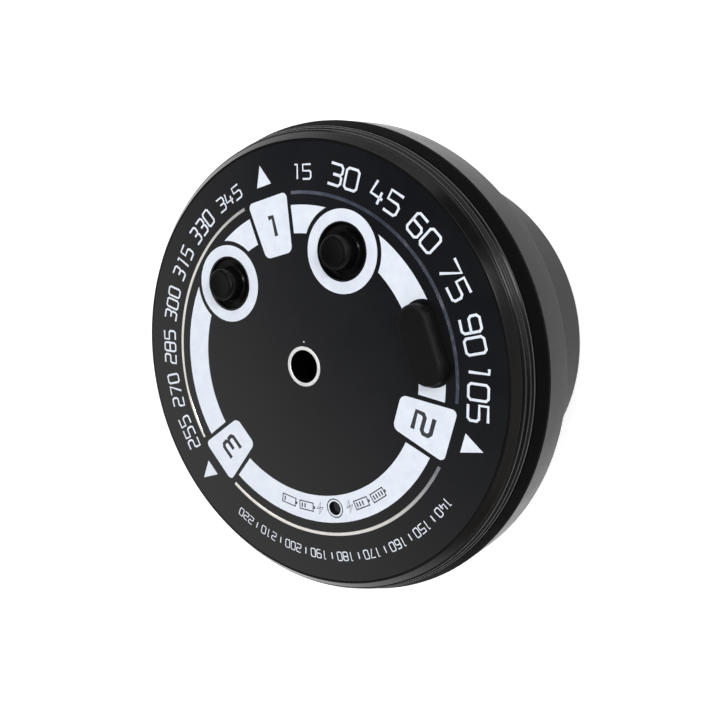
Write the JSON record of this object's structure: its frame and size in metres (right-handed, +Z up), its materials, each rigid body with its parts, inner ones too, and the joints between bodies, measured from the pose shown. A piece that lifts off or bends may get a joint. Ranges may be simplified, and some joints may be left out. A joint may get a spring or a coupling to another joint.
{
  "type": "telescope collimator",
  "caption": "Round telescope collimator with a 2 inch barrel, peephole, two push buttons and a rubber-covered charging port on a marked face.",
  "frame": {"origin": "centre of the open barrel mouth, at the bottom of the part standing on its barrel", "axes": "+Z up the barrel and out of the marked face, +Y through the twelve o'clock mark, +X towards the charging port"},
  "size_m": [0.0634, 0.0634, 0.0328],
  "materials": {
    "anodised_black": "black anodised, satin",
    "plate_black": "black anodised plate with light printed marks",
    "tape": "double-sided tape",
    "band_rubber": "matte",
    "cover_rubber": "matte",
    "button_plastic": "satin moulded",
    "switch_plastic": "moulded",
    "spring_steel": "thin spring steel",
    "bright_steel": "bright",
    "brass": "turned",
    "board_green": "solder mask",
    "board_white": "white solder mask",
    "led_white": "moulded lamp",
    "clear_plastic": "smoked clear",
    "target_acrylic": "acrylic with printed rings",
    "opal_plastic": "opal",
    "white_plastic": "moulded",
    "tray_plastic": "moulded",
    "battery_wrap": "foil pouch",
    "foam": "foam",
    "lead_sleeve": "wire sleeve",
    "chip_black": "moulded epoxy",
    "ferrite": "ferrite",
    "capacitor_tan": "ceramic"
  },
  "bodies": {
    "case": {"barrel": "anodised_black", "battery": "battery_wrap", "battery_leads": "lead_sleeve", "battery_pad": "foam", "battery_plug": "white_plastic", "battery_socket": "white_plastic", "battery_tray": "tray_plastic", "bezel_ring": "anodised_black", "board_screws": "bright_steel", "board_spacers": "brass", "capacitors": "capacitor_tan", "charge_chip": "chip_black", "controller_chip": "chip_black", "cover_tether": "cover_rubber", "diffuser": "opal_plastic", "face_plate": "plate_black", "grip_band": "band_rubber", "housing": "anodised_black", "inductor": "ferrite", "light_board": "board_white", "light_pipe": "clear_plastic", "light_reflector": "white_plastic", "link_header": "chip_black", "link_pins": "brass", "main_board": "board_green", "plate_tape": "tape", "port_contacts": "chip_black", "port_shell": "bright_steel", "retaining_ring": "anodised_black", "sight_tube": "bright_steel", "status_led": "led_white", "switch_case_left": "switch_plastic", "switch_case_right": "switch_plastic", "switch_dome_left": "spring_steel", "switch_dome_right": "spring_steel", "target_disc": "target_acrylic", "white_leds": "led_white"},
    "left_button": {"button_left": "button_plastic", "switch_plunger_left": "switch_plastic"},
    "right_button": {"button_right": "button_plastic", "switch_plunger_right": "switch_plastic"},
    "cover": {"port_cover": "cover_rubber"}
  },
  "joints": [
    {"name": "left_button_press", "type": "slide", "parent": "case", "child": "left_button", "axis": [0, 0, -1], "range_m": [0, 0.0003], "stiffness_N_per_m": 2000, "deforming": ["switch_dome_left"]},
    {"name": "right_button_press", "type": "slide", "parent": "case", "child": "right_button", "axis": [0, 0, -1], "range_m": [0, 0.0003], "stiffness_N_per_m": 2000, "deforming": ["switch_dome_right"]},
    {"name": "port_cover_hinge", "type": "hinge", "parent": "case", "child": "cover", "pos_m": [0.0192, 0.005, 0.031], "axis": [-1, 0, 0], "range_deg": [0, 90]}
  ]
}
